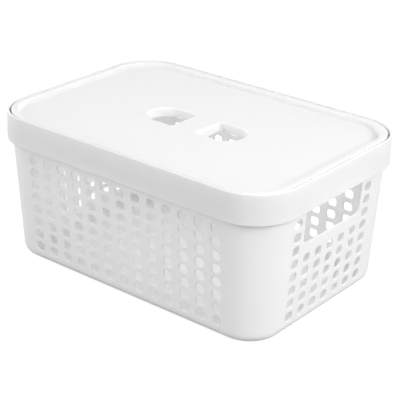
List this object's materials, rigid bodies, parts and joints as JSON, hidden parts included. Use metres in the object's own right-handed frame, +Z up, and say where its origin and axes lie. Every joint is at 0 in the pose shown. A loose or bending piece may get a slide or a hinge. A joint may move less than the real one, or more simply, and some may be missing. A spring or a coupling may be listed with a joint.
{
  "type": "lidded storage bin",
  "caption": "Rectangular perforated plastic storage bin with tapered walls, a plain rim band, hand holes at both ends and a lift-off lid with two finger holes.",
  "frame": {"origin": "centre of the flat underside, on the surface the bin stands on", "axes": "+X along the long side, +Y across the width, +Z up through the lid"},
  "size_m": [0.299, 0.206, 0.135],
  "materials": {
    "basket_plastic": "satin",
    "lid_plastic": "satin"
  },
  "bodies": {
    "basket": {"basket": "basket_plastic"},
    "lid": {"lid": "lid_plastic"}
  },
  "joints": [
    {"name": "lid_lift", "type": "slide", "parent": "basket", "child": "lid", "axis": [0, 0, 1], "range_m": [0, 0.06]}
  ]
}
